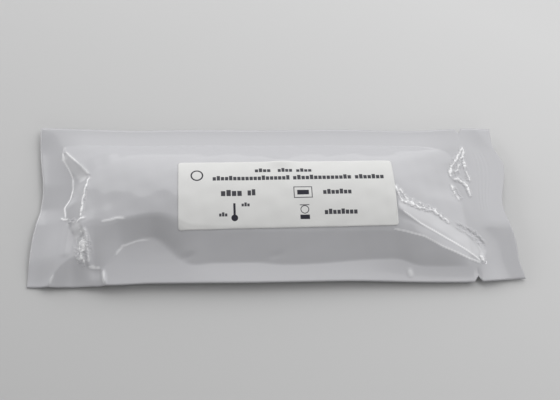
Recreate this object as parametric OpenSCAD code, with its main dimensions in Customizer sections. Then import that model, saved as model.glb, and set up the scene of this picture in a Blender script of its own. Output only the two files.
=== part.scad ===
// Sealed foil pouch with a flat test card inside and a paper label on its front.
// The pouch lies on its back film. X runs along it, Y across it and Z up, from the middle of its footprint.

/* [Pouch] */
// Length over the end seals
pouch_length = 155; // [140:1:200]
// Width over the long seals
pouch_width = 54; // [50:1:66]
// Thickness of the two films where they are sealed together
film = 0.25; // [0.2:0.05:0.5]
// Height of the seals above the table
seal_height = 3.2; // [2.4:0.1:4]
// Height of the free edge of the right end above the table
end_lift = 5.1; // [3:0.1:6.5]
// Height of the top film over the card
crown_height = 10; // [8:0.5:13]
// Radius of the top film across the card
crown_radius = 52.5; // [30:0.5:80]

/* [Seals] */
// Width of the two long seals
side_seal = 6; // [4:0.5:7]
// Width of the closed end seal
left_seal = 7.5; // [5:0.5:10]
// Width of the end seal that is torn open
right_seal = 11.5; // [8:0.5:14]

/* [Tear notches] */
// Distance of the notches from the right end
notch_from_end = 15.5; // [13:0.5:20]
// Width of a notch at the edge
notch_width = 2.8; // [2:0.2:4]
// Depth of a notch
notch_depth = 1.8; // [1:0.2:3]

/* [Card inside] */
// Length of the stretch that the card holds up
card_length = 69; // [55:1:75]
// Place of the card's middle along the pouch
card_x = 2.5; // [-6:0.5:6]
// Grade of the film behind the card
back_grade = 0.6; // [0.5:0.02:0.8]
// Grade of the film's fall from the card to the left end
left_fall = 0.05; // [0:0.01:0.1]

/* [Folds] */
// Length of the lobe where the film lies flat in front of the left pillow
lobe_length = 24; // [16:1:28]
// Reach of the lobe past the seal
lobe_depth = 7.5; // [4:0.5:9]
// Reach of the bay in the foot of the left end
left_bay = 3.8; // [2:0.2:5]
// Grade of the long facet of the front right corner
fan_grade = 0.42; // [0.3:0.02:0.6]
// Swell of the film behind the dent in the front left corner
dent_swell = 0.6; // [0:0.1:1.5]
// Grade of the dent in the front left corner
dent_grade = 0.42; // [0.1:0.02:0.5]
// Grade of the flat lobe
lobe_grade = 0.1; // [0:0.02:0.2]
// Drop of the back right corner
corner_drop = 1.2; // [0.5:0.1:1.8]
// Hollow of the left end edge
left_hollow = 2.5; // [0:0.1:4]
// Hollow of the right end edge
right_hollow = 3; // [0:0.2:4]

/* [Label] */
// Distance of the label's ends from the ends of the card
label_inset = 0.2; // [0:0.1:6]
// Width of the label
label_width = 22.4; // [15:0.2:25]
// Thickness of the label
label_thickness = 0.15; // [0.1:0.05:0.3]
// Thickness of the glue under the label
glue = 0.05; // [0.02:0.01:0.1]
// Radius of the label's corners
label_radius = 1.5; // [0.5:0.5:3]
// Place of the label's middle along the card
label_x = -0.2; // [-2:0.1:2]
// Place of the label's middle across the pouch
label_y = 0.2; // [-2:0.1:2]
// Turn of the label, in degrees
label_turn = 1; // [-3:0.1:3]

/* [Mesh] */
// Spacing of the lines across the creased ends
end_step = 1.5; // [1.3:0.1:3]
// Spacing of the lines across the plain middle
middle_step = 3.2; // [2:0.1:5]
// Spacing of the lines along the pouch
long_step = 1.6; // [1.5:0.1:3]

/* [Hidden] */
half_length = pouch_length / 2;
half_width = pouch_width / 2;
left_inner = -half_length + left_seal;
right_inner = half_length - right_seal;
front_inner = -half_width + side_seal;
back_inner = half_width - side_seal;
card_left = card_x - card_length / 2;
card_right = card_x + card_length / 2;
notch_x = half_length - notch_from_end;
label_length = card_length - 2 * label_inset;
crown = crown_height - seal_height;
lobe_right = card_left + 2;
lobe_left = lobe_right - lobe_length;
// Share of the top film's rise that the back film falls by
back_share = 0.65;
// Least height of a free seal above the table
least_gap = 0.3;
// Rounding of a sharp crease, a soft bend and a broad one, as heights
sharp = 0.3;
soft = 2.5;
broad = 6;

// Smooth step from 0 at a to 1 at b
function ramp(v, a, b) = let (t = min(max((v - a) / (b - a), 0), 1)) t * t * (3 - 2 * t);

// Smooth hump of height 1 at c that has died away past twice w
function hump(v, c, w) = exp(-pow((v - c) / w, 2));

// Lower of two heights, with the crease between them rounded off by r
function lower(a, b, r) = let (h = max(r - abs(a - b), 0) / r) min(a, b) - h * h * r / 4;

// Higher of two heights, with the crease between them filled in by r
function higher(a, b, r) = -lower(-a, -b, r);

// Lowest of a list of heights
function lowest(heights, r, i = 0) =
    i == len(heights) - 1 ? heights[i] : lower(heights[i], lowest(heights, r, i + 1), r);

// Distance of a place behind the line from p to q
function behind(x, y, p, q) = cross(q - p, [x, y] - p) / norm(q - p);

// Line through a few stations, with its corners eased over a reach
function eased(v, stations, reach) =
    let (values = [for (k = [-2 : 2]) lookup(v + reach * k / 2, stations)])
    values * [for (value = values) 1 / len(values)];

// Foot of the front slope, which goes back around the flat lobe
lobe = [
    [-0.08, -0.19], [0.03, -0.1], [0.12, 0.45], [0.23, 0.77], [0.38, 0.89],
    [0.54, 1], [0.67, 0.9], [0.79, 0.64], [0.94, 0.19], [1.1, -0.11]
];
front_foot = concat(
    [for (p = lobe) [lobe_left + lobe_length * p.x, front_inner + lobe_depth * p.y]],
    [
        [lobe_right + 7, front_inner + 0.1],
        [card_right - 43, front_inner + 0.2],
        [card_right - 37.5, front_inner - 0.6],
        [card_right - 31, front_inner - 0.6],
        [card_right - 23, front_inner - 0.3],
        [card_right - 12, front_inner + 0.6],
        [card_right, front_inner + 1],
        [card_right + 3, front_inner],
        [card_right + 6, front_inner - 1.2],
        [right_inner - 2, front_inner - 1.4]
    ]
);

// Crest of the front slope, where the film bends over the card
front_crest = [
    [left_inner + 4, front_inner + 8.6],
    [left_inner + 8.7, front_inner + 10],
    [lobe_left - 4, front_inner + 11.2],
    [lobe_left + 3, front_inner + 11.8],
    [lobe_left + 6.5, front_inner + 12.5],
    [lobe_right - 10.6, front_inner + 13.8],
    [lobe_right - 6.2, front_inner + 13.6],
    [lobe_right - 2, front_inner + 11.4],
    [lobe_right + 2, front_inner + 9.4],
    [card_right - 4, front_inner + 9],
    [card_right + 1.7, front_inner + 8.1],
    [card_right + 8, front_inner + 6.7],
    [card_right + 13.7, front_inner + 3.8],
    [right_inner - 7, front_inner + 1.1],
    [right_inner - 2, front_inner - 0.8]
];

// Foot and shoulder of the left end, by their places across the pouch
left_foot = [
    [front_inner - 1, left_inner + 10.6],
    [front_inner + 2.5, left_inner + 7.4],
    [front_inner + 5.5, left_inner + 4.8],
    [-11, left_inner + 3.2],
    [-2.2, left_inner + 1.4],
    [0.7, left_inner + 3],
    [4.1, left_inner + left_bay],
    [8.4, left_inner + 3.4],
    [back_inner - 6, left_inner]
];
left_shoulder = [
    [front_inner - 1, left_inner + 11.3],
    [front_inner + 8, left_inner + 10],
    [-11, left_inner + 8.7],
    [-2.2, left_inner + 8.6],
    [6.4, left_inner + 10.4],
    [back_inner - 8, left_inner + 4.8],
    [back_inner - 3.6, left_inner + 1]
];

// Foot of the film at the right end, by its place across the pouch
right_foot = [
    [front_inner + 9, right_inner - 6],
    [-0.8, right_inner - 6.5],
    [4, right_inner - 8.9],
    [9.5, right_inner - 9.1],
    [back_inner - 5.2, right_inner - 5.8],
    [back_inner - 0.6, right_inner - 2.8]
];

// Upper and middle creases of the fan that runs down to the front right corner
upper_crease = [
    [card_right - 3, 4],
    [card_right + 0.2, 1.4],
    [card_right + 1.2, -3],
    [card_right + 7.2, -5],
    [card_right + 12.3, -5.6],
    [right_inner - 11.3, -9.4],
    [right_inner - 6, -12],
    [right_inner - 2.9, front_inner + 4.7],
    [right_inner - 1.6, front_inner + 0.7]
];
middle_crease = [
    [card_right - 4, -3],
    [card_right + 0.9, front_inner + 14.7],
    [card_right + 7, front_inner + 10.6],
    [card_right + 13.4, front_inner + 7.4],
    [right_inner - 6.7, front_inner + 3.2],
    [right_inner - 2, front_inner - 0.2]
];

// Film drawn over the card, behind it and past its ends
function roof(x, y) =
    let (
        over_card = max(y, eased(x, front_crest, 1.5)),
        rounded = 0.3 + 0.7 * ramp(x, lobe_left - 2, lobe_right - 4),
        sag = rounded * pow(over_card - 2.5, 2) / (2 * crown_radius),
        arch = crown - left_fall * max(card_left - x, 0) - sag,
        back = back_grade * (back_inner - 0.7 - y),
        share = max(x - card_right + 3, 0) / (eased(y, right_foot, 1) - card_right + 3)
    )
    lower(arch, lower(back, (crown + 1.6) * (1 - share), broad), soft);

// Facets between the creases of the front right corner
function corner_fan(x, y) =
    let (
        top = (crown - 0.5) * (1 - (x - card_right - 1.5) / (right_inner - card_right - 5)),
        middle = eased(x, middle_crease, 0.3)
    )
    lowest([
        top + 0.05 * (y - middle),
        top - fan_grade * (middle - y),
        top - 0.85 * (y - eased(x, upper_crease, 0.3)),
        1.2 * (x - card_right + 0.5) + crown - 0.8
    ], sharp);

// Rise of the top film above the seals
function bulge(x, y) =
    let (
        foot = eased(x, front_foot, 2.2),
        front = min(max((y - foot) / (eased(x, front_crest, 1.5) - foot), 0), 1.3),
        end = eased(y, left_foot, 0.5),
        left = min(max((x - end) / (eased(y, left_shoulder, 0.5) - end), 0), 1.3),
        right = min(max((right_inner - x) / 2.5, 0), 1),
        top = higher(roof(x, y), corner_fan(x, y), sharp),
        middle = (lobe_left + lobe_right) / 2 + 1,
        lobe_rise = lobe_grade * max(y - front_inner, 0) * hump(x, middle, 9) * ramp(-y, 0, 8)
    )
    higher(max(top, 0) * lower(front, 1, 0.12) * lower(left, 1, 0.08) * right, lobe_rise, sharp);

// Heights of the four edges of the seals above the table
function front_edge(x) =
    seal_height - 0.5 + 0.4 * hump(x, -15, 30) - 1.9 * ramp(-x, 64, 74)
    - ramp(x, 15, notch_x) + 1.4 * ramp(x, notch_x, half_length);
function back_edge(x) = 0.4 * seal_height + 0.5 * hump(x, -half_length, 9) + 1.2 * hump(x, notch_x, 9);
function left_edge(y) =
    0.4 * seal_height + 0.8 * ramp(y, -8, 12) * (1 - 0.3 * ramp(y, 12, 22))
    + 0.4 * ramp(-y, 2, 8) * (1 - 0.4 * ramp(-y, 8, 20));
function right_edge(y) = lower(end_lift - 0.085 * (y + 9), end_lift + 0.24 * (y + 9), sharp);

// Upper line of the dent in the front left corner
dent_line = [
    [left_inner - 1, -half_width],
    [left_inner + 0.6, front_inner - 2.6],
    [left_inner + 3.1, front_inner],
    [left_inner + 6.6, front_inner + 2.1],
    [left_inner + 9.8, front_inner + 0.8],
    [left_inner + 11.6, front_inner - 0.5],
    [left_inner + 15.2, front_inner - 1],
    [left_inner + 16, -half_width]
];

// Swell of the film behind the dent, and its fall from there to the edge
function dent(x, y) =
    dent_swell * hump(x, left_inner + 8.5, 8) * hump(y, front_inner + 4, 8)
    - dent_grade * higher(eased(x, dent_line, 0.8) - y, 0, sharp);

// Height of the sealed films above the table, blended in from the edges
function from_edge(inside, edge, share) = inside + (edge - inside) * share;
function seals(x, y) =
    let (
        ends = from_edge(from_edge(seal_height,
            left_edge(y), ramp(-x, -left_inner - 8, half_length)),
            right_edge(y), ramp(x, right_inner - 5, half_length)),
        sides = from_edge(from_edge(ends,
            back_edge(x), ramp(y, back_inner - 4, half_width)),
            front_edge(x), ramp(-y, -front_inner - 3, half_width)),
        fold = behind(x, y, [right_inner, half_width], [half_length, back_inner - 8]),
        curl = corner_drop * ramp(fold, 0, 9)
    )
    max(sides + dent(x, y) - curl, least_gap);

// Heights of the outer faces of the two films
function top_film(x, y) = seals(x, y) + bulge(x, y);
function back_film(x, y) = higher(seals(x, y) - film - back_share * bulge(x, y), 0, sharp);

// Place in plan of a point of the flat pouch, with its hollow ends, its curled corner and its notches
function in_plan(u, v) =
    let (
        left = left_hollow * hump(v, 5, 10) * ramp(-u, half_length - 18, half_length),
        curled = right_hollow * hump(v, 0, 8) + 4 * ramp(v, 13, 24),
        right = curled * ramp(u, half_length - 18, half_length),
        notch = notch_depth * max(1 - abs(u - notch_x) / (notch_width / 2), 0)
    )
    [u + left - right, v - sign(v) * notch * ramp(abs(v), half_width - side_seal + 1, half_width)];

// Values from one place up to the next, evenly spaced, without the last
function lines(from, to, step) =
    let (n = ceil((to - from) / step)) [for (i = [0 : n - 1]) from + (to - from) * i / n];

cross_lines = concat(
    lines(-half_length, card_left, end_step),
    lines(card_left, card_right, middle_step),
    lines(card_right, notch_x - notch_width / 2, end_step),
    [notch_x - notch_width / 2, notch_x, notch_x + notch_width / 2],
    lines(notch_x + notch_width / 2 + end_step, half_length, end_step),
    [half_length]
);
long_lines = concat(lines(-half_width, half_width, long_step), [half_width]);

// Solid between two height fields over the same lines, given as two lists of points
module quilt(top, back, columns, rows) {
    count = columns * rows;
    function at(i, j) = i * rows + j;
    cells = [for (i = [0 : columns - 2], j = [0 : rows - 2]) [i, j]];
    rim = concat(
        [for (i = [0 : columns - 1]) at(i, 0)],
        [for (j = [1 : rows - 1]) at(columns - 1, j)],
        [for (i = [columns - 2 : -1 : 0]) at(i, rows - 1)],
        [for (j = [rows - 2 : -1 : 1]) at(0, j)]
    );
    polyhedron(
        points = concat(top, back),
        faces = concat(
            [for (c = cells) [at(c.x, c.y), at(c.x + 1, c.y + 1), at(c.x + 1, c.y)]],
            [for (c = cells) [at(c.x, c.y), at(c.x, c.y + 1), at(c.x + 1, c.y + 1)]],
            [for (c = cells) [at(c.x, c.y) + count, at(c.x + 1, c.y) + count, at(c.x + 1, c.y + 1) + count]],
            [for (c = cells) [at(c.x, c.y) + count, at(c.x + 1, c.y + 1) + count, at(c.x, c.y + 1) + count]],
            [for (k = [0 : len(rim) - 1])
                let (a = rim[k], b = rim[(k + 1) % len(rim)])
                each [[a, b, b + count], [a, b + count, a + count]]]
        )
    );
}

// Point of a film over a place of the flat pouch
function top_point(u, v, lift = 0) = let (p = in_plan(u, v)) [p.x, p.y, top_film(u, v) + lift];
function back_point(u, v) = let (p = in_plan(u, v)) [p.x, p.y, back_film(u, v)];

module pouch() {
    color([0.78, 0.78, 0.8])
        quilt(
            [for (u = cross_lines, v = long_lines) top_point(u, v)],
            [for (u = cross_lines, v = long_lines) back_point(u, v)],
            len(cross_lines), len(long_lines)
        );
}

module label_outline() {
    offset(r = label_radius)
        square([label_length - 2 * label_radius, label_width - 2 * label_radius], center = true);
}

module label() {
    reach = 3 * middle_step;
    columns = [for (u = cross_lines) if (abs(u - card_x - label_x) < label_length / 2 + reach) u];
    rows = [for (v = long_lines) if (abs(v - label_y) < label_width / 2 + reach) v];
    color([0.95, 0.95, 0.94])
        intersection() {
            quilt(
                [for (u = columns, v = rows) top_point(u, v, glue + label_thickness)],
                [for (u = columns, v = rows) top_point(u, v, glue)],
                len(columns), len(rows)
            );
            translate([card_x + label_x, label_y, 0])
                rotate(label_turn)
                    linear_extrude(2 * crown_height)
                        label_outline($fn = 32);
        }
}

pouch();
label();
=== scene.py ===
# %% [markdown]
# # A sealed foil pouch with a paper label
#
# The object is a flat pouch of laminated foil, heat-sealed on all four sides around a stiff card. Nothing
# inside can be seen. What makes it look real is the way the film falls from the card to the seals: a taut
# roof over the card, facets that meet in crisp creases at both ends, and seals that curl a little off the
# table. The lesson builds that sheet, then the label on it, then the two finishes, the table and the light.
#
# X runs along the pouch, Y across it towards the back and Z up. Sizes are written in millimetres and
# multiplied by MM where they become a mesh, because Blender's own unit is the metre.

# %% Load the frame
import math

import bmesh
import bpy
import numpy as np
from mathutils import Matrix, Vector


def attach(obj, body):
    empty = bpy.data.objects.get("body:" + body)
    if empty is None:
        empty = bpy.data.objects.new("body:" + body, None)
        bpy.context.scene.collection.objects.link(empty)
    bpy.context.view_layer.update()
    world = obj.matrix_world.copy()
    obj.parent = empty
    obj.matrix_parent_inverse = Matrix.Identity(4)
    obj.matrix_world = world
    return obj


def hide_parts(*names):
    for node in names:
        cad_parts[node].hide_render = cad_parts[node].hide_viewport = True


MM = 0.001
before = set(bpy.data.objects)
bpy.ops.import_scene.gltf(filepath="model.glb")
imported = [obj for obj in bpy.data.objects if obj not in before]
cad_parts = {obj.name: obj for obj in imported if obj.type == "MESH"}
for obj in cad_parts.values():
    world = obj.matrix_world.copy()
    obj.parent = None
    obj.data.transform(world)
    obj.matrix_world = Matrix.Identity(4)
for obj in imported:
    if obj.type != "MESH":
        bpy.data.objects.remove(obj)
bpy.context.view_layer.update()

# %% [markdown]
# ## The sizes of the pouch
#
# These are the sizes a pouch maker would quote: the blank, the widths of its seals, the tear notches, and
# how high the card inside holds the film. They could be typed in where they are used, but most of them are
# needed more than once, so each has a name.

# %% Name the sizes
pouch_length = 155
pouch_width = 54
film_thickness = 0.25
side_seal = 6
left_seal = 7.5
right_seal = 11.5
notch_from_end = 15.5
notch_width = 2.8
notch_depth = 1.8
seal_height = 3.2
crown_height = 10
card_length = 69
card_x = 2.5

half_length = pouch_length / 2
half_width = pouch_width / 2
left_inner = -half_length + left_seal
right_inner = half_length - right_seal
front_inner = -half_width + side_seal
back_inner = half_width - side_seal
notch_x = half_length - notch_from_end
card_left = card_x - card_length / 2
card_right = card_x + card_length / 2
crown = crown_height - seal_height
print("film rises", crown, "mm over a card from", card_left, "to", card_right)

# %% [markdown]
# ## Soft and sharp folds as small functions
#
# A film that is pulled over a card is made of almost flat facets. Each facet can be written as a height
# over the flat sheet, and the film is simply the lowest of them, with the crease between two facets rounded
# off a little. This is the same as sculpting the sheet by hand, but it can be repeated and measured.

# %% Write the folding functions
def ramp(v, a, b):
    """0 up to a and 1 from b on, with a soft rise between them."""
    t = np.clip((v - a) / (b - a), 0, 1)
    return t * t * (3 - 2 * t)


def hump(v, centre, width):
    """1 at the centre, and softly down to 0 on both sides of it."""
    return np.exp(-((v - centre) / width) ** 2)


def lower(a, b, rounding):
    """The lower of two heights, rounded off where they differ by less than the rounding."""
    h = np.maximum(rounding - np.abs(a - b), 0) / rounding
    return np.minimum(a, b) - h * h * rounding / 4


def higher(a, b, rounding):
    return -lower(-a, -b, rounding)


def lowest(heights, rounding):
    result = heights[0]
    for height in heights[1:]:
        result = lower(result, height, rounding)
    return result


def eased(v, stations, reach):
    """A line through a few measured places, with its corners eased over the given reach."""
    places, values = zip(*stations)
    shifts = np.linspace(-reach, reach, 7)
    return sum(np.interp(v + s, places, values) for s in shifts) / len(shifts)


print("a fold rounded over 2 mm loses", 5 - float(lower(5.0, 5.0, 2.0)), "mm of its height")

# %% [markdown]
# ## Where the film meets the seals and the card
#
# Five lines in plan carry the whole form: the foot and the crest of the front slope, the foot and the
# shoulder of the left end, and the foot of the right end. On the real pouch they are where the film leaves
# the seal and where it bends over the card. They could be drawn as curves, but the heights only need to know
# how far away each line is, so each one is given by a few places along it.

# %% Lay out the lines of the form
# the front lines give y for each x
front_foot = [
    (-66, -22.4), (-56, -22.4), (-53.2, -21.8), (-51, -17.6), (-48.5, -15.2), (-45, -14.3), (-41, -13.5),
    (-38, -14.2), (-35.1, -16.2), (-31.5, -19.6), (-27.5, -21.8), (-23, -20.9), (-6, -20.8), (-0.5, -21.6),
    (6, -21.6), (14, -21.3), (25, -20.4), (37, -20), (40, -21), (43, -22.2), (64, -22.4)]
front_crest = [
    (-66, -12.4), (-61.3, -11), (-58.1, -9.8), (-51.1, -9.2), (-47.5, -8.5), (-40.6, -7.2), (-36.2, -7.4),
    (-32, -9.6), (-28, -11.6), (-20, -12), (33, -12), (38.7, -12.9), (45, -14.3), (50.7, -17.2),
    (59, -19.9), (64, -21.8)]
# the lines at the ends give x for each y
left_foot = [
    (-22, -59.2), (-20.5, -60.6), (-18.6, -62.3), (-15.5, -62.7), (-12.5, -63.6), (-10, -65.2),
    (-7.5, -66.9), (-5.5, -67.8), (-2.2, -68.8), (0.7, -66.9), (4.1, -66.2), (8.4, -66.6), (11.4, -68),
    (15, -70), (20, -70)]
left_shoulder = [
    (-22, -58.7), (-17.4, -59.3), (-13, -60), (-11, -61.3), (-8.8, -61.7), (-6.8, -61.6), (-2.2, -61.4),
    (1.7, -60.9), (5, -60.2), (6.4, -59.6), (8.5, -61.2), (13, -65.2), (17.4, -69), (20, -69.2)]
right_foot = [
    (-12, 60), (-0.8, 59.5), (1.4, 58.1), (4, 57.1), (9.5, 56.9), (11.7, 57.4), (15.8, 60.2), (20.4, 63.2)]
depth = float(eased(0, front_crest, 1) - eased(0, front_foot, 1))
print("front slope", round(depth, 1), "mm deep at the middle")

# %% [markdown]
# ## The roof over the card
#
# Across the card the film is a shallow arch, which stops at the crest of the front slope. Behind the card it
# falls in one plane to the back seal, and past the right end of the card it runs down gently. A smooth
# pillow would be simpler, but a taut film has these planes, and they are what its highlights show.

# %% Shape the roof
back_grade = 0.6
left_fall = 0.05
arch_middle = 2.5
arch_diameter = 118


def roof(x, y):
    over_card = np.maximum(y, eased(x, front_crest, 1.5))
    # both the arch and the back plane are flatter at the left end
    sag = (over_card - arch_middle) ** 2 / arch_diameter * (0.3 + 0.7 * ramp(x, -56, -34))
    arch = crown - left_fall * np.maximum(card_left - x, 0) - sag
    back = (back_grade - 0.2 * ramp(-x, 52, 66)) * (back_inner - 0.7 - y)
    # the right plane starts 3 mm before the card's end and reaches the seal at its foot
    share = np.maximum(x - card_right + 3, 0) / (eased(y, right_foot, 1) - card_right + 3)
    right = (crown + 1.6) * (1 - share)
    return lower(arch, lower(back, right, 6), 2.5)


print("roof over the seals in mm:", round(float(roof(0.0, 0.0)), 2), "at the middle,",
      round(float(roof(0.0, 15.0)), 2), "near the back")

# %% [markdown]
# ## The folded corner at the front right
#
# From the card's right end the film runs down to the corner in a fan of three creases. Between the upper and
# the middle one lies a flat facet that catches the light, and between the middle and the low one a facet
# turned to the front. Behind the upper crease the film drops to the gentle slope of the roof. A few large
# faces could stand for it, but they would have to be joined to the roof by hand. So the fan is a second form,
# and the higher of the two shows, which is how a fold lies on the film beside it.

# %% Shape the fan of creases
upper_crease = [
    (34, 4), (37.2, 1.4), (38.2, -3), (44.2, -5.0), (49.3, -5.6), (54.7, -9.4), (60, -12), (63.1, -16.3),
    (64.4, -20.3)]
middle_crease = [(33, -3), (37.9, -6.3), (44, -10.4), (50.4, -13.6), (59.3, -17.8), (64, -21.2)]
fan_start = 38.5
fan_fall = 0.29
front_facet_grade = 0.42
behind_fan_grade = 0.85


def corner_fan(x, y):
    flat = crown - 0.5 - fan_fall * (x - fan_start)
    upper = eased(x, upper_crease, 0.3)
    middle = eased(x, middle_crease, 0.3)
    return lowest([
        flat - 0.02 * (y - middle),
        flat - front_facet_grade * (middle - y),
        flat - behind_fan_grade * (y - upper),
        1.2 * (x - 36.5) + crown - 0.8,
    ], 0.25)


print("the fan runs down from", round(float(corner_fan(42.0, -7.0)), 2), "to",
      round(float(corner_fan(56.0, -14.0)), 2), "mm over the seals")

# %% [markdown]
# ## The rise of the film above its seals
#
# The slope in front takes its height from the roof at its crest and runs down straight to its foot, and so
# does the left end, which leaves a crisp crease at its shoulder and another at its foot. In front of the left
# end the film lies almost flat in a lobe, which rises only a little towards the slope. The slopes are shares
# of the roof's height and not planes of their own, so that they always meet it.

# %% Join roof, front slope and ends
def bulge(x, y):
    # how far up the front slope and up the left end a place lies, from 0 at the foot to 1 at the top
    foot, crest = eased(x, front_foot, 2.2), eased(x, front_crest, 1.5)
    front = np.clip((y - foot) / (crest - foot), 0, 1.3)
    foot, shoulder = eased(y, left_foot, 0.5), eased(y, left_shoulder, 0.5)
    left = np.clip((x - foot) / (shoulder - foot), 0, 1.3)
    top = higher(roof(x, y), corner_fan(x, y), 0.25)
    end = np.clip((right_inner - x) / 2.5, 0, 1)
    share = lower(front, 1, 0.12) * lower(left, 1, 0.08) * end
    lobe = 0.1 * (y - front_inner) * hump(x, -41, 9) * ramp(-y, 0, 8)
    return higher(np.maximum(top, 0) * share, np.maximum(lobe, 0), 0.25)


print("the film rises", round(float(bulge(0.0, arch_middle)), 2), "mm at the middle and",
      round(float(bulge(-41.0, -18.0)), 2), "mm in the lobe")

# %% [markdown]
# ## The seals
#
# A sealed edge is stiff and lies a little off the table. The front edge lifts along its middle, so that it
# throws a soft shadow, both end seals are folded lightly across, and the back right corner curls down. In
# the front left corner the seal has buckled into a low arch and stands off the table. Each edge could be a
# curve of its own, but the seals have to meet in the corners, so one level band is blended towards the
# height of one edge after the other.

# %% Shape the seals
left_lift = [(-27, 1.3), (-7, 1.7), (-2.4, 0.8), (6, 1.7), (15, 1.5), (27, 1.3)]
buckle_arch = [
    (-71, -27), (-69.4, -23.6), (-66.9, -21), (-63.4, -18.9), (-60.2, -20.2), (-58.4, -21.5),
    (-54.8, -22.0), (-54.0, -27)]
buckle_grade = 0.42
fold_height = 3.9
fold_y = -9
corner_drop = 0.6
least_gap = 0.3


def behind(x, y, p, q):
    """How far a place lies behind the line from p to q."""
    run = Vector(q) - Vector(p)
    return (run.x * (y - p[1]) - run.y * (x - p[0])) / run.length


def buckle(x, y):
    """The raised strip in the front left corner, which falls from its arch to the edge."""
    below = higher(eased(x, buckle_arch, 0.8) - y, 0, 0.3)
    fall = buckle_grade * lower(below, 1.5 + 0.7 * below, 0.5)
    # its outer part is raised far up the end seal, and the inner part only close to the front edge
    outer = ramp(-x, 57, 61)
    raised = outer * ramp(-y, 5, 20) + (1 - outer) * ramp(-x, 53, 55.5) * ramp(-y, 22.4, 26)
    return 0.6 * hump(x, -61.5, 8) * hump(y, -17, 8) - fall + ramp(x, -76, -69) * raised


def seals(x, y):
    # the front edge is lifted along its middle, down at the left end and lower towards the notch
    front_edge = (seal_height - 0.4 + 0.4 * hump(x, -15, 30) - 2.3 * ramp(-x, 65, 74)
                  - 0.95 * ramp(x, 15, notch_x))
    # the back edge lies lower, and rises a little at both ends
    back_edge = 0.6 * seal_height + 0.4 * hump(x, -half_length, 9) + 0.7 * ramp(x, 48, 62)
    # the right edge falls to both sides of its fold
    right_edge = lower(fold_height - 0.055 * (y - fold_y), fold_height + 0.155 * (y - fold_y), 0.3)
    short_of_end = 1 - ramp(x, notch_x, half_length - 4)
    height = seal_height
    for edge, share in (
            (eased(y, left_lift, 1), ramp(-x, -left_inner - 8, half_length)),
            (right_edge, ramp(x, right_inner - 7, right_inner + 6)),
            (back_edge, ramp(y, back_inner - 4, half_width)),
            (front_edge, ramp(-y, -front_inner - 3, half_width) * short_of_end)):
        height = height + (edge - height) * share
    back_right = behind(x, y, (right_inner + 4.3, half_width), (half_length, back_inner - 3))
    return np.maximum(height + buckle(x, y) - corner_drop * ramp(back_right, 0, 6), least_gap)


edge_heights = [round(float(seals(x, -26.9)), 2) for x in (-76.0, -62.0, 0.0, 60.0)]
print("front edge over the table in mm:", edge_heights)
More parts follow.
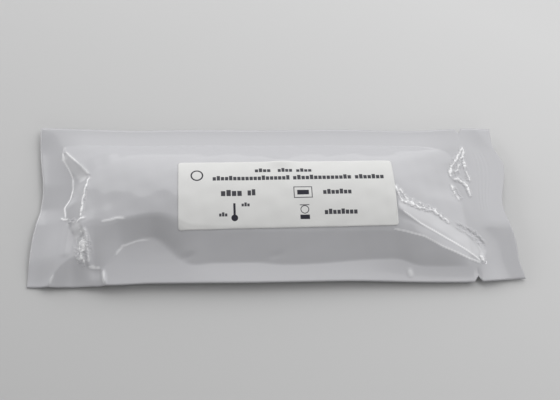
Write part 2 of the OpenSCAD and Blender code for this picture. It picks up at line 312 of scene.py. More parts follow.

# %% [markdown]
# ## The creases
#
# Where two facets meet, real foil stands up in a thin sharp ridge, and where it was squeezed it is crumpled.
# Along the creases the film is painted white: partly film that the sharp crease stretched until it turned
# white, and partly a painted highlight that stands in for the glint of the crease. The shape could be painted
# on too, but light has to catch it, so each crease follows a line of a few places and is a small tent. It
# carries its rise, its half width, how crumpled it is and how much painted white it gets. Lines without any
# rise only paint light on dim facets, as painted light in place of the light that misses them, and lines with
# a rise below zero are valleys and dimples.

# %% List the creases
# name, places, rise, half width, share crumpled, share painted white (whitening, painted highlight and
# painted light)
creases = [
    ("left foot", [(-70, 18.4), (-70, 15), (-68, 11.4), (-66.6, 8.4), (-66.2, 4.1), (-66.9, 0.7),
                   (-68.8, -2.2), (-68.1, -4.3), (-67.6, -6.2)], 0.17, 0.42, 0.1, 0.65),
    ("left shoulder", [(-69.6, 18), (-65.2, 13), (-61.2, 8.5), (-59.6, 6.4)], 0.17, 0.45, 0.1, 0.65),
    ("end of the shoulder", [(-63.8, -9.3), (-61.6, -8.4), (-59.6, -8.0)], 0.25, 0.5, 0.3, 1),
    ("end of the foot", [(-70.2, -5.6), (-68, -6.2), (-66, -6.9)], 0.25, 0.5, 0.3, 1),
    ("fold between them", [(-67.4, -6.8), (-62.2, -8.9)], 0.1, 0.4, 0.8, 0.4),
    ("fold in the end seal", [(-66.4, -7.2), (-66.1, -11.1), (-66.4, -19.5)], 0.24, 1.8, 0, 0),
    ("left shoulder front", [(-59.6, 6.4), (-60.2, 5), (-60.9, 1.7), (-61.4, -2.2), (-61.6, -6.8),
                             (-61.7, -8.8)], 0.22, 0.55, 0.45, 1),
    ("front left corner", [(-61.3, -11), (-60, -13), (-59.3, -17.4), (-58.8, -21.3)], 0.2, 0.7, 0.4, 0.5),
    ("crumpled corner", [(-61, -13.7), (-61.8, -17), (-61, -20), (-59, -21.6)], 0.4, 0.9, 0.7, 1),
    ("crumpled corner inside", [(-60.2, -14.5), (-60.6, -18), (-59.6, -20.5)], 0.3, 0.8, 0.8, 1),
    # painted light: no rise, only a paler colour that brightens a facet lying in shade
    ("painted light, left end", [(-65.2, -8), (-63, -10.5), (-62, -14)], 0, 2.2, 0, 0.4),
    ("crushed triangle, tip", [(-61.5, -10.6), (-60.9, -13), (-60.6, -16.5)], 0.1, 0.8, 0.9, 0.8),
    ("crushed triangle, foot", [(-61.2, -14), (-60.8, -17), (-60.6, -20.6)], 0.12, 1.7, 0.9, 0.8),
    # painted light: no rise, only a paler colour that brightens the shaded facet between foot and shoulder
    ("painted light, left corner", [(-70, 17), (-66.2, 11.6), (-62.6, 7.6), (-61.2, 5)], 0, 2.8, 0, 0.33),
    ("foot of the corner", [(-59.6, -21.9), (-57, -21.9), (-54.6, -22.1)], 0.15, 0.6, 0.3, 0.7),
    ("crest", [(-56, -9.5), (-52.5, -9), (-50.5, -8.4), (-47.5, -8.6)], 0.12, 0.6, 0, 0.5),
    ("edge of the lobe", [(-51.5, -18.8), (-49, -15.6), (-45, -14.2), (-41, -13.6)], 0.1, 0.6, 0.2, 0.35),
    ("upper crease", [(36.6, 2.6), (37.6, -0.6), (38.4, -3), (44.2, -5.0), (49.3, -5.6), (54.7, -9.4)],
     0.35, 0.6, 0.6, 1),
    ("end of the fan", [(54.7, -9.4), (60, -12), (63.1, -16.3), (64.4, -20.3)], 0.06, 0.5, 0.2, 0),
    ("tip of the fan", [(62.8, -18.6), (64.2, -20), (65, -22)], 0.2, 0.6, 0.5, 1),
    ("middle crease", [(37.9, -6.3), (44, -10.4), (50.4, -13.6), (59.3, -17.8), (64, -21.2)],
     0.14, 0.42, 0, 0.8),
    ("low crease", [(34.5, -12.1), (38.7, -12.9), (45, -14.5), (50.7, -17.2), (59, -19.9), (64, -21.6)],
     0.13, 0.42, 0, 0.55),
    ("valley behind the fan", [(55.7, -9.2), (59.3, -10.6), (61.9, -12.2), (64.2, -14.6), (65.5, -16.5)],
     -0.32, 0.9, 0.55, 0),
    # painted light: no rise, only a paler colour that brightens the facet of the fan
    ("painted light, fan", [(37, -3), (45, -7.4), (52, -10.9), (59, -14.6), (65.5, -20)], 0, 3.6, 0, 0.22),
    ("end fold one", [(63.2, 20.4), (60.2, 15.8), (57.4, 11.7), (56.9, 9.5), (57.2, 7.2)],
     0.25, 0.65, 0.5, 1),
    ("end fold two", [(57.2, 7.2), (59.2, 7.6), (62, 5.4), (63.3, 0.6)], 0.28, 0.65, 0.5, 1),
    ("end fold three", [(57.2, 6.0), (57.1, 3.9), (58.1, 1.4), (59.5, -0.8)], 0.35, 0.75, 0.7, 1),
    ("end fold four", [(63, 19.5), (62.2, 14.5), (62.6, 10.6), (63.7, 6)], 0.22, 0.6, 0.6, 0.9),
    ("end fold five", [(62.4, 17.5), (60.6, 13.5), (59.3, 10.5), (57.4, 9.2)], 0.22, 0.6, 0.7, 0.9),
    ("second upper crease", [(37.2, 1.6), (39.2, -0.8), (40.4, -3.2), (43.5, -3.9)], 0.25, 0.6, 0.8, 1),
    ("third upper crease", [(38.6, -1.4), (41.5, -2.6), (46.5, -4.4), (50.5, -5.2)], 0.2, 0.5, 0.8, 0.9),
    ("first dimple", [(-29.4, -17.8), (-28.2, -20.4)], -0.5, 2.4, 0, 0),
    ("second dimple", [(-2.4, -18), (-1.2, -20.2)], -0.45, 2.4, 0, 0),
    ("band left", [(-54.6, -22), (-54.1, -26.9)], 0.15, 0.6, 0, 0.5),
    ("buckle left", [(-70.6, -26.9), (-70, -24.8), (-69, -23)], 0.1, 0.6, 0, 0.4),
    ("band right", [(39.8, -22.5), (40.6, -26)], 0.15, 1.2, 0, 0.25),
]
print(len(creases), "creases:", ", ".join(name for name, *_ in creases))

# %% [markdown]
# A crumpled crease sways and changes its height every millimetre or two, which is what makes it glitter. A
# noise texture could do that in the material, but the mesh needs the same shape, so a few sines do it here.
# The same function also says how much painted white the film gets at each place, the painted highlight along
# the creases and the painted light on dim facets, and how crumpled it is. The finish of the foil uses that
# later, so shape and colour can't drift apart.

# %% Raise the creases
end_fade = 1.5


def along_line(x, y, line):
    """How far each place is from a line of places, and how far along the line its nearest place lies."""
    nearest, along, run = np.full(x.shape, 1e9), np.zeros(x.shape), 0.0
    for (ax, ay), (bx, by) in zip(line, line[1:]):
        length = math.hypot(bx - ax, by - ay)
        share = np.clip(((x - ax) * (bx - ax) + (y - ay) * (by - ay)) / length ** 2, 0, 1)
        away = np.hypot(x - ax - share * (bx - ax), y - ay - share * (by - ay))
        along = np.where(away < nearest, run + share * length, along)
        nearest = np.minimum(nearest, away)
        run += length
    return nearest, along, run


def wrinkles(x, y):
    """The rise of all creases, the share of painted white (highlight and light), and how crumpled the film
    is.
    """
    total, white_and_painted_light, crushed = np.zeros(x.shape), np.zeros(x.shape), np.zeros(x.shape)
    for _, line, rise, width, crumple, whitened_and_painted_light in creases:
        sway_x = 0.35 * crumple * np.sin(2.9 * x + 1.3 * y)
        sway_y = 0.35 * crumple * np.sin(2.3 * y - 1.7 * x)
        away, along, run = along_line(x + sway_x, y + sway_y, line)
        uneven = 1 - crumple * (0.5 + 0.5 * np.sin(3.1 * along + 1.4 * np.sin(1.9 * along)))
        fade = ramp(along, -0.01, end_fade) * ramp(run - along, -0.01, end_fade)
        tent = uneven * fade * np.clip(1 - away / width, 0, 1)
        total += rise * tent
        # painted white along the crease: partly stretched film, partly a painted highlight for its glint;
        # lines without rise paint light on dim facets
        white_and_painted_light = np.maximum(white_and_painted_light, whitened_and_painted_light * ramp(tent, 0.2, 0.7))
        crushed = np.maximum(crushed, ramp(crumple, 0.25, 0.6) * fade * ramp(2 * width - away, 0, width))
    return total, white_and_painted_light, crushed


print("rise of the middle crease", np.round(wrinkles(np.array([50.4]), np.array([-13.6]))[0], 2), "mm")

# %% [markdown]
# ## The ribs of the seal and the unrest of the film
#
# The seal at the notched end was pressed by a ribbed jaw. And a film that is not quite taut is never quite
# flat, which shows in its reflections, most of all where it lifts under the middle of the label's back edge.
# A displacement texture could do both, but a few sines are shape too, and the label can follow them.

# %% Write ribs and waves
rib_pitch = 1.6
rib_height = 0.03
ribs_from, ribs_to = 66.5, 72


def seal_ribs(x, y):
    in_seal = ramp(x, ribs_from - 0.5, ribs_from + 0.5) * ramp(-x, -ribs_to - 0.5, -ribs_to + 0.5)
    pressed = in_seal * ramp(y, -5, 0) * ramp(-y, -19, -16)
    return rib_height * pressed * np.sin(2 * math.pi * x / rib_pitch)


def waves(x, y):
    slow = np.sin(0.31 * x + 1.7 * np.sin(0.21 * y)) * np.sin(0.43 * y + 1.2 * np.sin(0.17 * x) + 0.5)
    quick = np.sin(0.83 * x - 0.4 * y) * np.sin(0.71 * y + 0.35 * x)
    free = (ramp(x, left_inner, left_inner + 6) * ramp(-x, -right_inner, -right_inner + 6)
            * ramp(-np.abs(y), -back_inner, -back_inner + 4))
    lift_of_label = 0.7 * hump(x, 0.5, 4) * hump(y, 11.5, 2.5)
    return free * (0.07 * slow + 0.03 * quick) + lift_of_label


print("the seal has", round((ribs_to - ribs_from) / rib_pitch, 1), "ribs,", rib_height, "mm high")

# %% [markdown]
# ## The folded sheet in plan
#
# Folding also moves the film sideways. Both ends have a shallow hollow, the long edges are not quite
# straight, the front right corner is tucked in, and two notches are cut beside the seal at that end. The
# outline could be cut out of a larger sheet, but then the mesh would need new vertices along it. So every
# place of a plain rectangle is moved instead.

# %% Move a place on the flat blank to its place on the folded pouch
front_line = [
    (-77.5, -0.65), (-69, -1.15), (-62, -0.9), (-57, -1.05), (-50, -1.12), (-42, -0.65), (-12, -0.82),
    (6, -0.63), (20, -0.43), (30, -0.55), (42, -0.88), (56, -0.98), (68, -0.62), (77.5, -0.3)]
back_line = [
    (-77.5, 0), (-65, -0.2), (-46, -0.8), (-31, -0.35), (-3, -0.45), (14, -0.1), (26, -0.08), (44, -0.6),
    (53, -0.3), (66, 0.1), (77.5, 0.2)]
end_reach = 18


def in_plan(u, v):
    # the left end is drawn in at its middle, and the right end at its middle and at its back corner
    near_right = ramp(u, half_length - end_reach, half_length)
    left = 2.4 * hump(v, 3, 12) * ramp(-u, half_length - end_reach, half_length)
    right = (1.6 * ramp(v, -28, -20) + 3 * hump(v, -2, 9) + 3 * ramp(v, 12, 22)) * near_right
    # the tucked corner, the notches, and the bow of the long edges
    tucked = 0.7 * ramp(u, notch_x, half_length) * ramp(-v, 10, half_width)
    cut = notch_depth * np.maximum(1 - np.abs(u - notch_x) / (notch_width / 2), 0)
    notch = np.sign(v) * cut * ramp(np.abs(v), half_width - side_seal + 1, half_width)
    bow = np.where(v < 0, eased(u, front_line, 4), eased(u, back_line, 4))
    return u + left - right, v + bow * ramp(np.abs(v), 14, half_width) + tucked - notch


print("front left corner at", [round(float(c), 2) for c in in_plan(-half_length, -half_width)])

# %% [markdown]
# ## The two films
#
# The top film adds up all that was written above. The back film lies under it, pressed flat against the
# table below the card, and at the seals it is apart from it by their thickness and the little that rounding
# the folds adds. A Solidify modifier would give one film a thickness, but the back film goes its own way
# under the card.

# %% Add up the heights
back_share = 0.65


def film_top(u, v):
    return seals(u, v) + bulge(u, v) + wrinkles(u, v)[0] + seal_ribs(u, v) + waves(u, v)


def film_back(u, v):
    return higher(seals(u, v) + seal_ribs(u, v) - film_thickness - back_share * bulge(u, v), 0, 0.3)


in_front_seal = np.array([0.0]), np.array([-24.0])
for name, film in (("back", film_back), ("top", film_top)):
    print(name, "film in the front seal in mm:", round(film(*in_front_seal).item(), 2))

# %% [markdown]
# ## The sheet in Blender
#
# The pouch could be a cloth simulation, but its creases are fixed by where the film was folded, not by how
# it falls. So it starts as a fine flat grid and is extruded once into a slab of two films, which stays
# closed. Every vertex is then moved to its height.

# %% Write the mesh helpers
def slab_of_grid(across, along):
    """A closed slab on a grid of whole numbers, with its lower side at -1."""
    bm = bmesh.new()
    bmesh.ops.create_grid(bm, x_segments=across - 1, y_segments=along - 1, size=0.5)
    bmesh.ops.scale(bm, vec=(across - 1, along - 1, 1), verts=bm.verts)
    bmesh.ops.translate(bm, vec=((across - 1) / 2, (along - 1) / 2, 0), verts=bm.verts)
    lower_side = bmesh.ops.extrude_face_region(bm, geom=bm.faces[:])
    corners = [v for v in lower_side["geom"] if isinstance(v, bmesh.types.BMVert)]
    bmesh.ops.translate(bm, vec=(0, 0, -1), verts=corners)
    bmesh.ops.recalc_face_normals(bm, faces=bm.faces)
    return bm


def grid_places(bm):
    """Column and row of each vertex, and whether it is on the upper side."""
    bm.verts.index_update()
    places = np.array([v.co[:] for v in bm.verts])
    return places[:, 0], places[:, 1], places[:, 2] > -0.5


def move_vertices(bm, x, y, z):
    for v, *co in zip(bm.verts, x * MM, y * MM, z * MM):
        v.co = co


def finish_piece(bm, name):
    for face in bm.faces:
        face.smooth = True
    mesh = bpy.data.meshes.new(name)
    bm.to_mesh(mesh)
    bm.free()
    piece = bpy.data.objects.new(name, mesh)
    bpy.context.scene.collection.objects.link(piece)
    return piece


bm = slab_of_grid(3, 2)
print("a slab on 3 by 2 places has", len(bm.verts), "vertices")
bm.free()

# %% [markdown]
# The grid is finer at the creased ends than in the middle, and coarse in the seals. An even grid as fine as
# the creases need would have several times as many faces. The share of painted white, which is painted
# highlight and painted light, and the crumpled share of the film go into two attributes of the mesh.

# %% Build the pouch
columns = np.unique(np.concatenate([
    np.linspace(-half_length, -71, 10), np.linspace(-71, -53, 62), np.linspace(-53, -44, 20),
    np.linspace(-44, 34, 72), np.linspace(34, 66, 106), np.linspace(66, half_length, 36),
    [notch_x - notch_width / 2, notch_x, notch_x + notch_width / 2]]))
rows = np.concatenate([
    np.linspace(-half_width, -22.6, 10), np.linspace(-22.4, 20.6, 138), np.linspace(21, half_width, 10)])

bm = slab_of_grid(len(columns), len(rows))
i, j, on_top = grid_places(bm)
u, v = np.interp(i, range(len(columns)), columns), np.interp(j, range(len(rows)), rows)
x, y = in_plan(u, v)
move_vertices(bm, x, y, np.where(on_top, film_top(u, v), film_back(u, v)))
foil_pouch = finish_piece(bm, "foil_pouch")
_, white_and_painted_light, crushed = wrinkles(u, v)
# the first attribute carries the painted highlight along the creases and the painted light on dim facets
for name, share in (("whitened_and_painted_light", white_and_painted_light), ("crumpled", crushed)):
    attribute = foil_pouch.data.attributes.new(name, "FLOAT", "POINT")
    attribute.data.foreach_set("value", np.where(on_top, share, 0))
print("foil_pouch has", 2 * len(foil_pouch.data.polygons), "triangles")

# %% [markdown]
# ## The label
#
# A paper label is a thin sheet that follows the film under it. It could be shrinkwrapped onto the pouch, but
# the film's height is known everywhere, so the label is laid on it directly, over a thin layer of glue. It is
# a grid of its own, so that its corners can be rounded: the vertices of each corner are pulled in from a
# square onto a quarter circle. A UV map carries the places of the print.

# %% Name the label's sizes
label_length = 68.6
label_width = 23.2
label_radius = 0.9
label_x = 2.3
label_y = -0.2
label_turn = math.radians(0.9)
label_gap = 0.05
label_thickness = 0.15
print("label", label_length, "by", label_width, "mm, turned by", round(math.degrees(label_turn), 2), "deg")

# %% Build the label
across, along = 200, 70
bm = slab_of_grid(across, along)
i, j, on_top = grid_places(bm)
s, t = i / (across - 1) * label_length, j / (along - 1) * label_width
out_s = np.abs(s - label_length / 2) - (label_length / 2 - label_radius)
out_t = np.abs(t - label_width / 2) - (label_width / 2 - label_radius)
in_corner = (out_s > 0) & (out_t > 0)
pull = np.where(in_corner, np.maximum(out_s, out_t) / np.hypot(out_s, out_t), 1)
s = np.where(in_corner, s - np.sign(s - label_length / 2) * out_s * (1 - pull), s)
t = np.where(in_corner, t - np.sign(t - label_width / 2) * out_t * (1 - pull), t)
a, b = s - label_length / 2, t - label_width / 2
x = label_x + a * math.cos(label_turn) - b * math.sin(label_turn)
y = label_y + a * math.sin(label_turn) + b * math.cos(label_turn)
move_vertices(bm, x, y, film_top(x, y) + label_gap + np.where(on_top, label_thickness, 0))
uv = bm.loops.layers.uv.new("print")
for face in bm.faces:
    for loop in face.loops:
        k = loop.vert.index
        loop[uv].uv = (s[k] / label_length, t[k] / label_width)
paper_label = finish_piece(bm, "paper_label")
print("paper_label has", 2 * len(paper_label.data.polygons), "triangles")

# %% [markdown]
# ## The unevenness of the foil
#
# The foil is laminated between plastic films, so it looks like a silvery plastic with a thin gloss coat
# rather than a mirror. It could be one smooth shader, but real film is never quite even. A faint noise in the
# normal stands for that. Where the film was crushed, a cell pattern adds small facets that sparkle, and the
# crumpled attribute keeps them there.

# %% Make the foil uneven
def principled(name):
    material = bpy.data.materials.new(name)
    material.use_nodes = True
    return material, material.node_tree, material.node_tree.nodes["Principled BSDF"]


def add_node(tree, kind, **values):
    """A new shader node with the given values in its inputs."""
    node = tree.nodes.new("ShaderNode" + kind)
    for name, value in values.items():
        node.inputs[name].default_value = value
    return node


foil, tree, shader = principled("laminated_foil")
places = add_node(tree, "TexCoord")
unevenness = add_node(tree, "TexNoise", Scale=90, Detail=2)
bump = add_node(tree, "Bump", Strength=0.25, Distance=0.15 * MM)
tree.links.new(places.outputs["Object"], unevenness.inputs["Vector"])
tree.links.new(unevenness.outputs["Fac"], bump.inputs["Height"])
print("unevenness", round(1000 / unevenness.inputs["Scale"].default_value, 1), "mm across")

# %% Add the facets of crumpled film
crumpled = add_node(tree, "Attribute")
crumpled.attribute_name = "crumpled"
facets = add_node(tree, "TexVoronoi", Scale=1500)
facet_height = add_node(tree, "Math")
facet_height.operation = "MULTIPLY"
crumple_bump = add_node(tree, "Bump", Strength=1, Distance=0.2 * MM)
tree.links.new(places.outputs["Object"], facets.inputs["Vector"])
tree.links.new(facets.outputs["Distance"], facet_height.inputs[0])
tree.links.new(crumpled.outputs["Fac"], facet_height.inputs[1])
tree.links.new(facet_height.outputs[0], crumple_bump.inputs["Height"])
tree.links.new(bump.outputs["Normal"], crumple_bump.inputs["Normal"])
tree.links.new(crumple_bump.outputs["Normal"], shader.inputs["Normal"])
tree.links.new(crumple_bump.outputs["Normal"], shader.inputs["Coat Normal"])
print("facets", round(1000 / facets.inputs["Scale"].default_value, 2), "mm across")

# %% [markdown]
# ## The colour and gloss of the foil
#
# The film is a light silver grey. Along the creases it is painted white, partly for film that was stretched
# and partly as a painted highlight for the glint of the crease, and a few dim facets get painted light the
# same way. The colour could come from a metal with a rough surface, but the photo's film has soft broad
# highlights under a thin sharp one, which is a half-matt plastic under a clear coat.

# %% Tint the foil
silver = (0.5, 0.5, 0.52, 1)
# the painted white of the creases: a painted highlight and painted light, partly stretched film
stretched_and_painted_light = (0.96, 0.96, 0.97, 1)


def mix_colours(tree, share, first, second):
    mix = tree.nodes.new("ShaderNodeMix")
    mix.data_type = "RGBA"
    mix.inputs["A"].default_value = first
    mix.inputs["B"].default_value = second
    tree.links.new(share, mix.inputs["Factor"])
    return mix.outputs["Result"]


# painted highlight and painted light: the attribute mixes the painted white into the foil's colour
whitened_and_painted_light = add_node(tree, "Attribute")
whitened_and_painted_light.attribute_name = "whitened_and_painted_light"
tree.links.new(mix_colours(tree, whitened_and_painted_light.outputs["Fac"], silver, stretched_and_painted_light), shader.inputs["Base Color"])
shader.inputs["Roughness"].default_value = 0.45
shader.inputs["Specular IOR Level"].default_value = 0.3
shader.inputs["Coat Weight"].default_value = 0.45
shader.inputs["Coat Roughness"].default_value = 0.1
shader.inputs["Coat IOR"].default_value = 1.6
foil_pouch.data.materials.append(foil)
print("foil", silver[:3], "and", stretched_and_painted_light[:3], "where it is stretched")

# %% [markdown]
# ## The print on the label
#
# The label is printed in black, with rows of small blocks, single blocks and rings. They could be cut into
# the mesh, but ink has no thickness, so the print is a mask in the material. One node group draws a block on
# the label's own UV map, another one a row of small blocks, and a third one a ring. Each group is placed as
# often as the label needs it, with its own values.

# %% Write the helpers for masks
def mask_group(name, sockets):
    group = bpy.data.node_groups.new(name, "ShaderNodeTree")
    group.interface.new_socket("Place", in_out="INPUT", socket_type="NodeSocketVector")
    for socket in sockets:
        group.interface.new_socket(socket, in_out="INPUT", socket_type="NodeSocketFloat")
    group.interface.new_socket("Mask", in_out="OUTPUT", socket_type="NodeSocketFloat")
    given = group.nodes.new("NodeGroupInput")
    result = group.nodes.new("NodeGroupOutput")
    split = group.nodes.new("ShaderNodeSeparateXYZ")
    group.links.new(given.outputs["Place"], split.inputs[0])
    return group, given.outputs, split.outputs, result.inputs["Mask"]


def work_out(tree, operation, a, b=0.0, c=None):
    """A Math node between numbers and sockets."""
    node = tree.nodes.new("ShaderNodeMath")
    node.operation = operation
    for socket, value in zip(node.inputs, (a, b, c)):
        if isinstance(value, (int, float)):
            socket.default_value = value
        elif value is not None:
            tree.links.new(value, socket)
    return node.outputs[0]


edge_width = 0.1


def inside(tree, value, low, high):
    """1 between low and high, with a soft edge."""
    from_low = work_out(tree, "SUBTRACT", value, low)
    from_high = work_out(tree, "SUBTRACT", high, value)
    depth = work_out(tree, "MINIMUM", from_low, from_high)
    edge = work_out(tree, "MULTIPLY_ADD", depth, 1 / edge_width, 0.5)
    return work_out(tree, "MINIMUM", work_out(tree, "MAXIMUM", edge, 0), 1)


print("print has an edge", edge_width, "mm wide")

# %% [markdown]
# A block is a rectangle between two sides and two heights. A small mesh could lie on the paper in its place,
# but a mask that is worked out from the four edges stays sharp at any distance.

# %% Draw one block
block, given, place, mask = mask_group("printed_block", ["Left", "Right", "Bottom", "Top"])
across_it = inside(block, place["X"], given["Left"], given["Right"])
up_it = inside(block, place["Y"], given["Bottom"], given["Top"])
block.links.new(work_out(block, "MULTIPLY", across_it, up_it), mask)
print(block.name, "has", len(block.nodes), "nodes")

# %% [markdown]
# A row of blocks is uneven: about two in three are lower than the others. Each block could be placed by
# hand, but a row has up to twenty of them, so white noise that depends on the number of the block alone
# decides it, and the row is the same every time.

# %% Draw a row of blocks
share_of_tall = 0.35
drop_of_low = 0.38
share_of_pitch = 0.82
ink_strength = 0.95

block_row, given, place, mask = mask_group("printed_row", ["Left", "Right", "Bottom", "Top", "Pitch"])
from_left = work_out(block_row, "SUBTRACT", place["X"], given["Left"])
count = work_out(block_row, "DIVIDE", from_left, given["Pitch"])
which = block_row.nodes.new("ShaderNodeTexWhiteNoise")
which.noise_dimensions = "1D"
block_row.links.new(work_out(block_row, "FLOOR", count), which.inputs["W"])
low_one = work_out(block_row, "GREATER_THAN", which.outputs["Value"], share_of_tall)
top = work_out(block_row, "SUBTRACT", given["Top"], work_out(block_row, "MULTIPLY", low_one, drop_of_low))
from_block = work_out(block_row, "MULTIPLY", work_out(block_row, "FRACT", count), given["Pitch"])
in_block = inside(block_row, from_block, 0.0, work_out(block_row, "MULTIPLY", given["Pitch"], share_of_pitch))
across_it = inside(block_row, place["X"], given["Left"], given["Right"])
up_it = inside(block_row, place["Y"], given["Bottom"], top)
row_mask = work_out(block_row, "MULTIPLY", work_out(block_row, "MULTIPLY", across_it, up_it), in_block)
block_row.links.new(work_out(block_row, "MULTIPLY", row_mask, ink_strength), mask)
print(block_row.name, "has", len(block_row.nodes), "nodes")

# %% [markdown]
# A ring is every place whose distance from its centre lies between two radii. Blocks would only come near a
# round shape, and with a hole of no size the same group also draws a dot.

# %% Draw a ring
ring, given, place, mask = mask_group("printed_ring", ["Centre", "Height", "Radius", "Line"])
off_x = work_out(ring, "SUBTRACT", place["X"], given["Centre"])
off_y = work_out(ring, "SUBTRACT", place["Y"], given["Height"])
squares = [work_out(ring, "MULTIPLY", off, off) for off in (off_x, off_y)]
radius = work_out(ring, "SQRT", work_out(ring, "ADD", *squares))
hole = work_out(ring, "SUBTRACT", given["Radius"], given["Line"])
ring.links.new(inside(ring, radius, hole, given["Radius"]), mask)
print(ring.name, "has", len(ring.nodes), "nodes")

# %% [markdown]
# ## The printed paper
#
# The label is smooth matt paper. The places of the print are in millimetres from its lower left corner:
# first the rows of small blocks, then the single blocks, four of which make a frame, and then the rings and
# one dot. They could be joined into one large group, but a loop that places the small groups is shorter. The
# darkest mask at each place decides between paper and ink.

# %% List the print
# left, right, bottom, top, pitch
block_rows = [
    (24.2, 29.4, 18.9, 20.4, 1.3), (31.5, 36.3, 18.9, 20.4, 1.2), (37.4, 42.5, 18.8, 20.2, 1.27),
    (10.8, 35.3, 15.9, 17.6, 1.29), (36.2, 55.0, 15.9, 17.6, 1.34), (56.0, 65.5, 15.9, 17.6, 1.36),
    (13.3, 20.0, 10.4, 12.5, 1.7), (21.6, 24.2, 10.5, 12.6, 1.35), (45.4, 54.6, 10.6, 12.3, 1.32),
    (45.5, 56.0, 3.9, 5.6, 1.32), (12.6, 15.2, 3.8, 5.1, 0.9), (19.6, 22.2, 6.9, 8.2, 0.9),
]
# left, right, bottom, top
blocks = [
    (36.1, 42.0, 9.4, 9.65), (36.1, 42.0, 13.05, 13.3), (36.1, 36.35, 9.4, 13.3), (41.75, 42.0, 9.4, 13.3),
    (37.2, 40.9, 10.5, 12.1), (17.05, 17.75, 3.9, 8.0), (37.8, 40.8, 2.5, 3.9), (37.8, 40.8, 6.95, 7.2),
]
# centre, height, radius, line
rings = [(5.9, 17.9, 2.0, 0.45), (17.4, 3.3, 1.05, 1.05), (39.3, 5.6, 1.35, 0.25)]
print(len(block_rows), "rows of blocks,", len(blocks), "blocks and", len(rings), "rings on the label")

# %% Print it on the paper
white_paper = (0.74, 0.74, 0.73, 1)
black_ink = (0.02, 0.02, 0.03, 1)

paper, tree, shader = principled("label_paper")
shader.inputs["Roughness"].default_value = 0.6
shader.inputs["Specular IOR Level"].default_value = 0.2
on_label = tree.nodes.new("ShaderNodeUVMap")
on_label.uv_map = "print"
in_mm = tree.nodes.new("ShaderNodeVectorMath")
in_mm.operation = "MULTIPLY"
in_mm.inputs[1].default_value = (label_length, label_width, 0)
tree.links.new(on_label.outputs[0], in_mm.inputs[0])
ink = 0.0
for group, shapes in ((block_row, block_rows), (block, blocks), (ring, rings)):
    for values in shapes:
        shape = tree.nodes.new("ShaderNodeGroup")
        shape.node_tree = group
        tree.links.new(in_mm.outputs[0], shape.inputs["Place"])
        for socket, value in zip(list(shape.inputs)[1:], values):
            socket.default_value = value
        ink = work_out(tree, "MAXIMUM", shape.outputs["Mask"], ink)
tree.links.new(mix_colours(tree, ink, white_paper, black_ink), shader.inputs["Base Color"])
paper_label.data.materials.append(paper)
print("the printed paper has", len(tree.nodes), "nodes")

# %% [markdown]
# ## The table
#
# The pouch lies on a pale matt surface that fills the picture. Its colour is painted darker from the back
# right to the front left, a painted shade for the light that falls off towards the front. A backdrop could
# curve up behind the object, but no horizon is in sight here, so one flat sheet is enough. Its grey runs
# between two values along one direction of its own coordinates, which stays the same under any camera.

# %% Lay the table
table_half_size = 3
bm = bmesh.new()
bmesh.ops.create_grid(bm, x_segments=1, y_segments=1, size=table_half_size)
table = finish_piece(bm, "table")
table_painted_shade, tree, shader = principled("table_painted_shade")
shader.inputs["Roughness"].default_value = 0.8
on_table = add_node(tree, "TexCoord")
towards_back = tree.nodes.new("ShaderNodeVectorMath")
towards_back.operation = "DOT_PRODUCT"
towards_back.inputs[1].default_value = (0.55, 1, 0)
# painted shade: the table's grey is darker towards the front left, where less light falls
shade = add_node(tree, "MapRange", **{"From Min": -0.12, "From Max": 0.12, "To Min": 0.505, "To Max": 0.75})
tree.links.new(on_table.outputs["Object"], towards_back.inputs[0])
tree.links.new(towards_back.outputs["Value"], shade.inputs["Value"])
tree.links.new(shade.outputs["Result"], shader.inputs["Base Color"])
table.data.materials.append(table_painted_shade)
print("table", 2 * table_half_size, "m square")

# %% [markdown]
# ## The camera
#
# The picture looks down at the pouch from in front and is a little askew, so the camera is also turned and
# rolled. It could be aimed by eye. But the pouch has four corners and two notches whose places are known, so
# the camera's place, its three angles and its lens come from a fit to them, written down here.

# %% Set the camera
position = Vector((-20.1117, -118.4437, 251.5823)) * MM
yaw, pitch, roll = 0.1701, 1.1197, 0.1501
forward = Vector((math.sin(yaw) * math.cos(pitch), math.cos(yaw) * math.cos(pitch), -math.sin(pitch)))
level = Vector((math.cos(yaw), -math.sin(yaw), 0))
upright = level.cross(forward)
right_hand = math.cos(roll) * level + math.sin(roll) * upright
head = -math.sin(roll) * level + math.cos(roll) * upright
camera = bpy.data.objects.new("camera", bpy.data.cameras.new("camera"))
camera.data.lens = 55.29
camera.data.sensor_width = 36
camera.data.clip_start = 0.01
camera.matrix_world = Matrix((
    (right_hand.x, head.x, -forward.x, position.x),
    (right_hand.y, head.y, -forward.y, position.y),
    (right_hand.z, head.z, -forward.z, position.z),
    (0, 0, 0, 1),
))
bpy.context.scene.collection.objects.link(camera)
bpy.context.scene.camera = camera
print("camera", round(position.length / MM), "mm from the middle, looking", round(math.degrees(pitch)),
      "degrees down")

# %% [markdown]
# ## The lamps
#
# One large window at the back right gives the broad soft light, the bright slopes and the shadow in front of
# the pouch. Two weak cards brighten the left end and the front slope a little. The glitter of the crumpled
# creases comes from three very small lamps, which add hardly any light. A single lamp would be simpler, but
# foil shows what stands around it, so it needs something large and something small to reflect.

# %% Set the lamps
def soft_lamp(name, place, size, power):
    lamp = bpy.data.lights.new(name, "AREA")
    lamp.shape = "RECTANGLE"
    lamp.size, lamp.size_y = size
    lamp.energy = power
    lamp_object = bpy.data.objects.new(name, lamp)
    lamp_object.location = place
    lamp_object.rotation_euler = (-Vector(place)).to_track_quat("-Z", "Y").to_euler()
    bpy.context.scene.collection.objects.link(lamp_object)
    print(name, power, "W from", round(Vector(place).length, 1), "m")


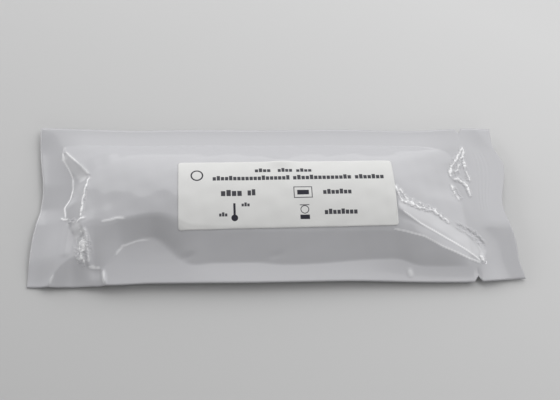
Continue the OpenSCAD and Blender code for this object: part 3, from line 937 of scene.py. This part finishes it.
spark = ((0.04, 0.04), 0.3)
soft_lamp("window", (1.18, 1.9, 1.88), (5.5, 4), 114)
soft_lamp("left card", (-1.7, 1.24, 0.48), (1.8, 0.8), 17.5)
soft_lamp("front card", (0.7, -2.06, 0.68), (1.6, 0.8), 4.6)
soft_lamp("low spark left", (-0.75, -0.35, 0.45), *spark)
soft_lamp("right spark", (0.6, -0.1, 0.7), *spark)
soft_lamp("low spark right", (0.9, -0.1, 0.35), *spark)

# %% [markdown]
# ## The room
#
# A weak white world fills the shadows. The camera and the gloss of the foil see a light grey instead, so the
# film mirrors a pale room. Raising the fill until the reflections were light enough would wash out the
# shadows, so Light Path tells the two kinds of rays apart.

# %% Set the world
fill_strength = 0.24
room_grey = (0.62, 0.62, 0.62, 1)

world = bpy.data.worlds.new("room")
world.use_nodes = True
tree = world.node_tree
fill = tree.nodes["Background"]
fill.inputs["Color"].default_value = (1, 1, 1, 1)
fill.inputs["Strength"].default_value = fill_strength
seen = add_node(tree, "Background", Color=room_grey)
rays = add_node(tree, "LightPath")
sees_room = work_out(tree, "MAXIMUM", rays.outputs["Is Camera Ray"], rays.outputs["Is Glossy Ray"])
sees_room = work_out(tree, "MAXIMUM", sees_room, rays.outputs["Is Transmission Ray"])
mix = tree.nodes.new("ShaderNodeMixShader")
tree.links.new(sees_room, mix.inputs["Fac"])
tree.links.new(fill.outputs[0], mix.inputs[1])
tree.links.new(seen.outputs[0], mix.inputs[2])
tree.links.new(mix.outputs[0], tree.nodes["World Output"].inputs["Surface"])
bpy.context.scene.world = world
bpy.context.scene.view_settings.view_transform = "Standard"
print("fill", fill_strength, "and a room of grey", room_grey[0])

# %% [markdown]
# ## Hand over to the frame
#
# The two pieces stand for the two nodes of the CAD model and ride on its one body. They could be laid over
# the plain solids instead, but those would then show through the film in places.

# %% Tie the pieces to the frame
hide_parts("pouch")
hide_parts("label")
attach(foil_pouch, "root")
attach(paper_label, "root")
